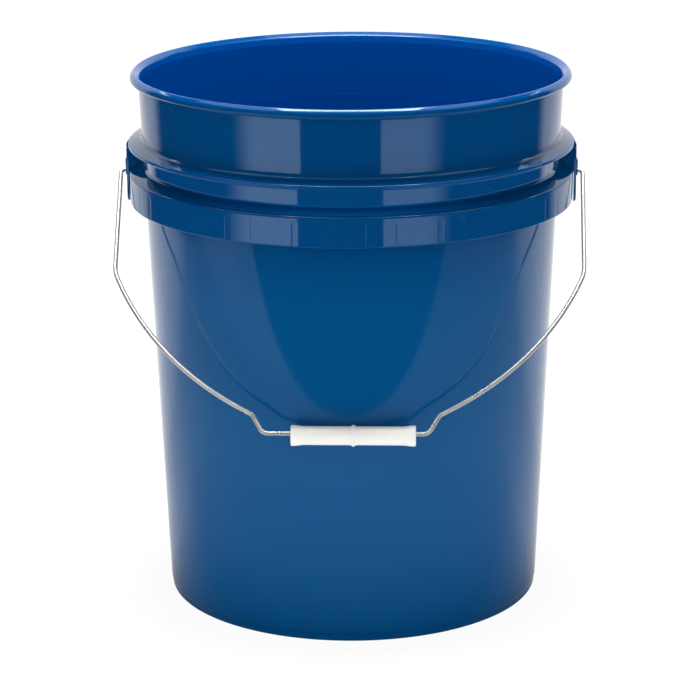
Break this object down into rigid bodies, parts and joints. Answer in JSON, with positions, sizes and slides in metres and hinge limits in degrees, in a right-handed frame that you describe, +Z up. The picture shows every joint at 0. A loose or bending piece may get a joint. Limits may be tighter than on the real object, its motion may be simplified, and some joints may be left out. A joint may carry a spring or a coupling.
{
  "type": "plastic fermenting bucket",
  "caption": "Open tapered plastic pail with a beaded rim and hollow reinforcing rings, a swinging steel wire bail held in moulded ears and a loose roller grip.",
  "frame": {"origin": "centre of the foot ring on the floor", "axes": "+Z up along the pail's axis, X through the two ears, -Y the side on which the bail hangs at rest"},
  "size_m": [0.322, 0.3064, 0.369],
  "materials": {
    "blue_plastic": "glossy moulded blue polyethylene",
    "bail_steel": "bright zinc-plated drawn wire",
    "grip_plastic": "smooth white moulded plastic"
  },
  "bodies": {
    "pail": {"pail_body": "blue_plastic"},
    "bail": {"bail_wire": "bail_steel"},
    "grip": {"hand_grip": "grip_plastic"}
  },
  "joints": [
    {"name": "bail_swing", "type": "hinge", "parent": "pail", "child": "bail", "pos_m": [0, 0, 0.2972], "axis": [-1, 0, 0], "range_deg": [0, 270]},
    {"name": "grip_spin", "type": "hinge", "parent": "bail", "child": "grip", "pos_m": [0.0052, -0.14396, 0.15065], "axis": [1, 0, 0], "continuous": true}
  ]
}
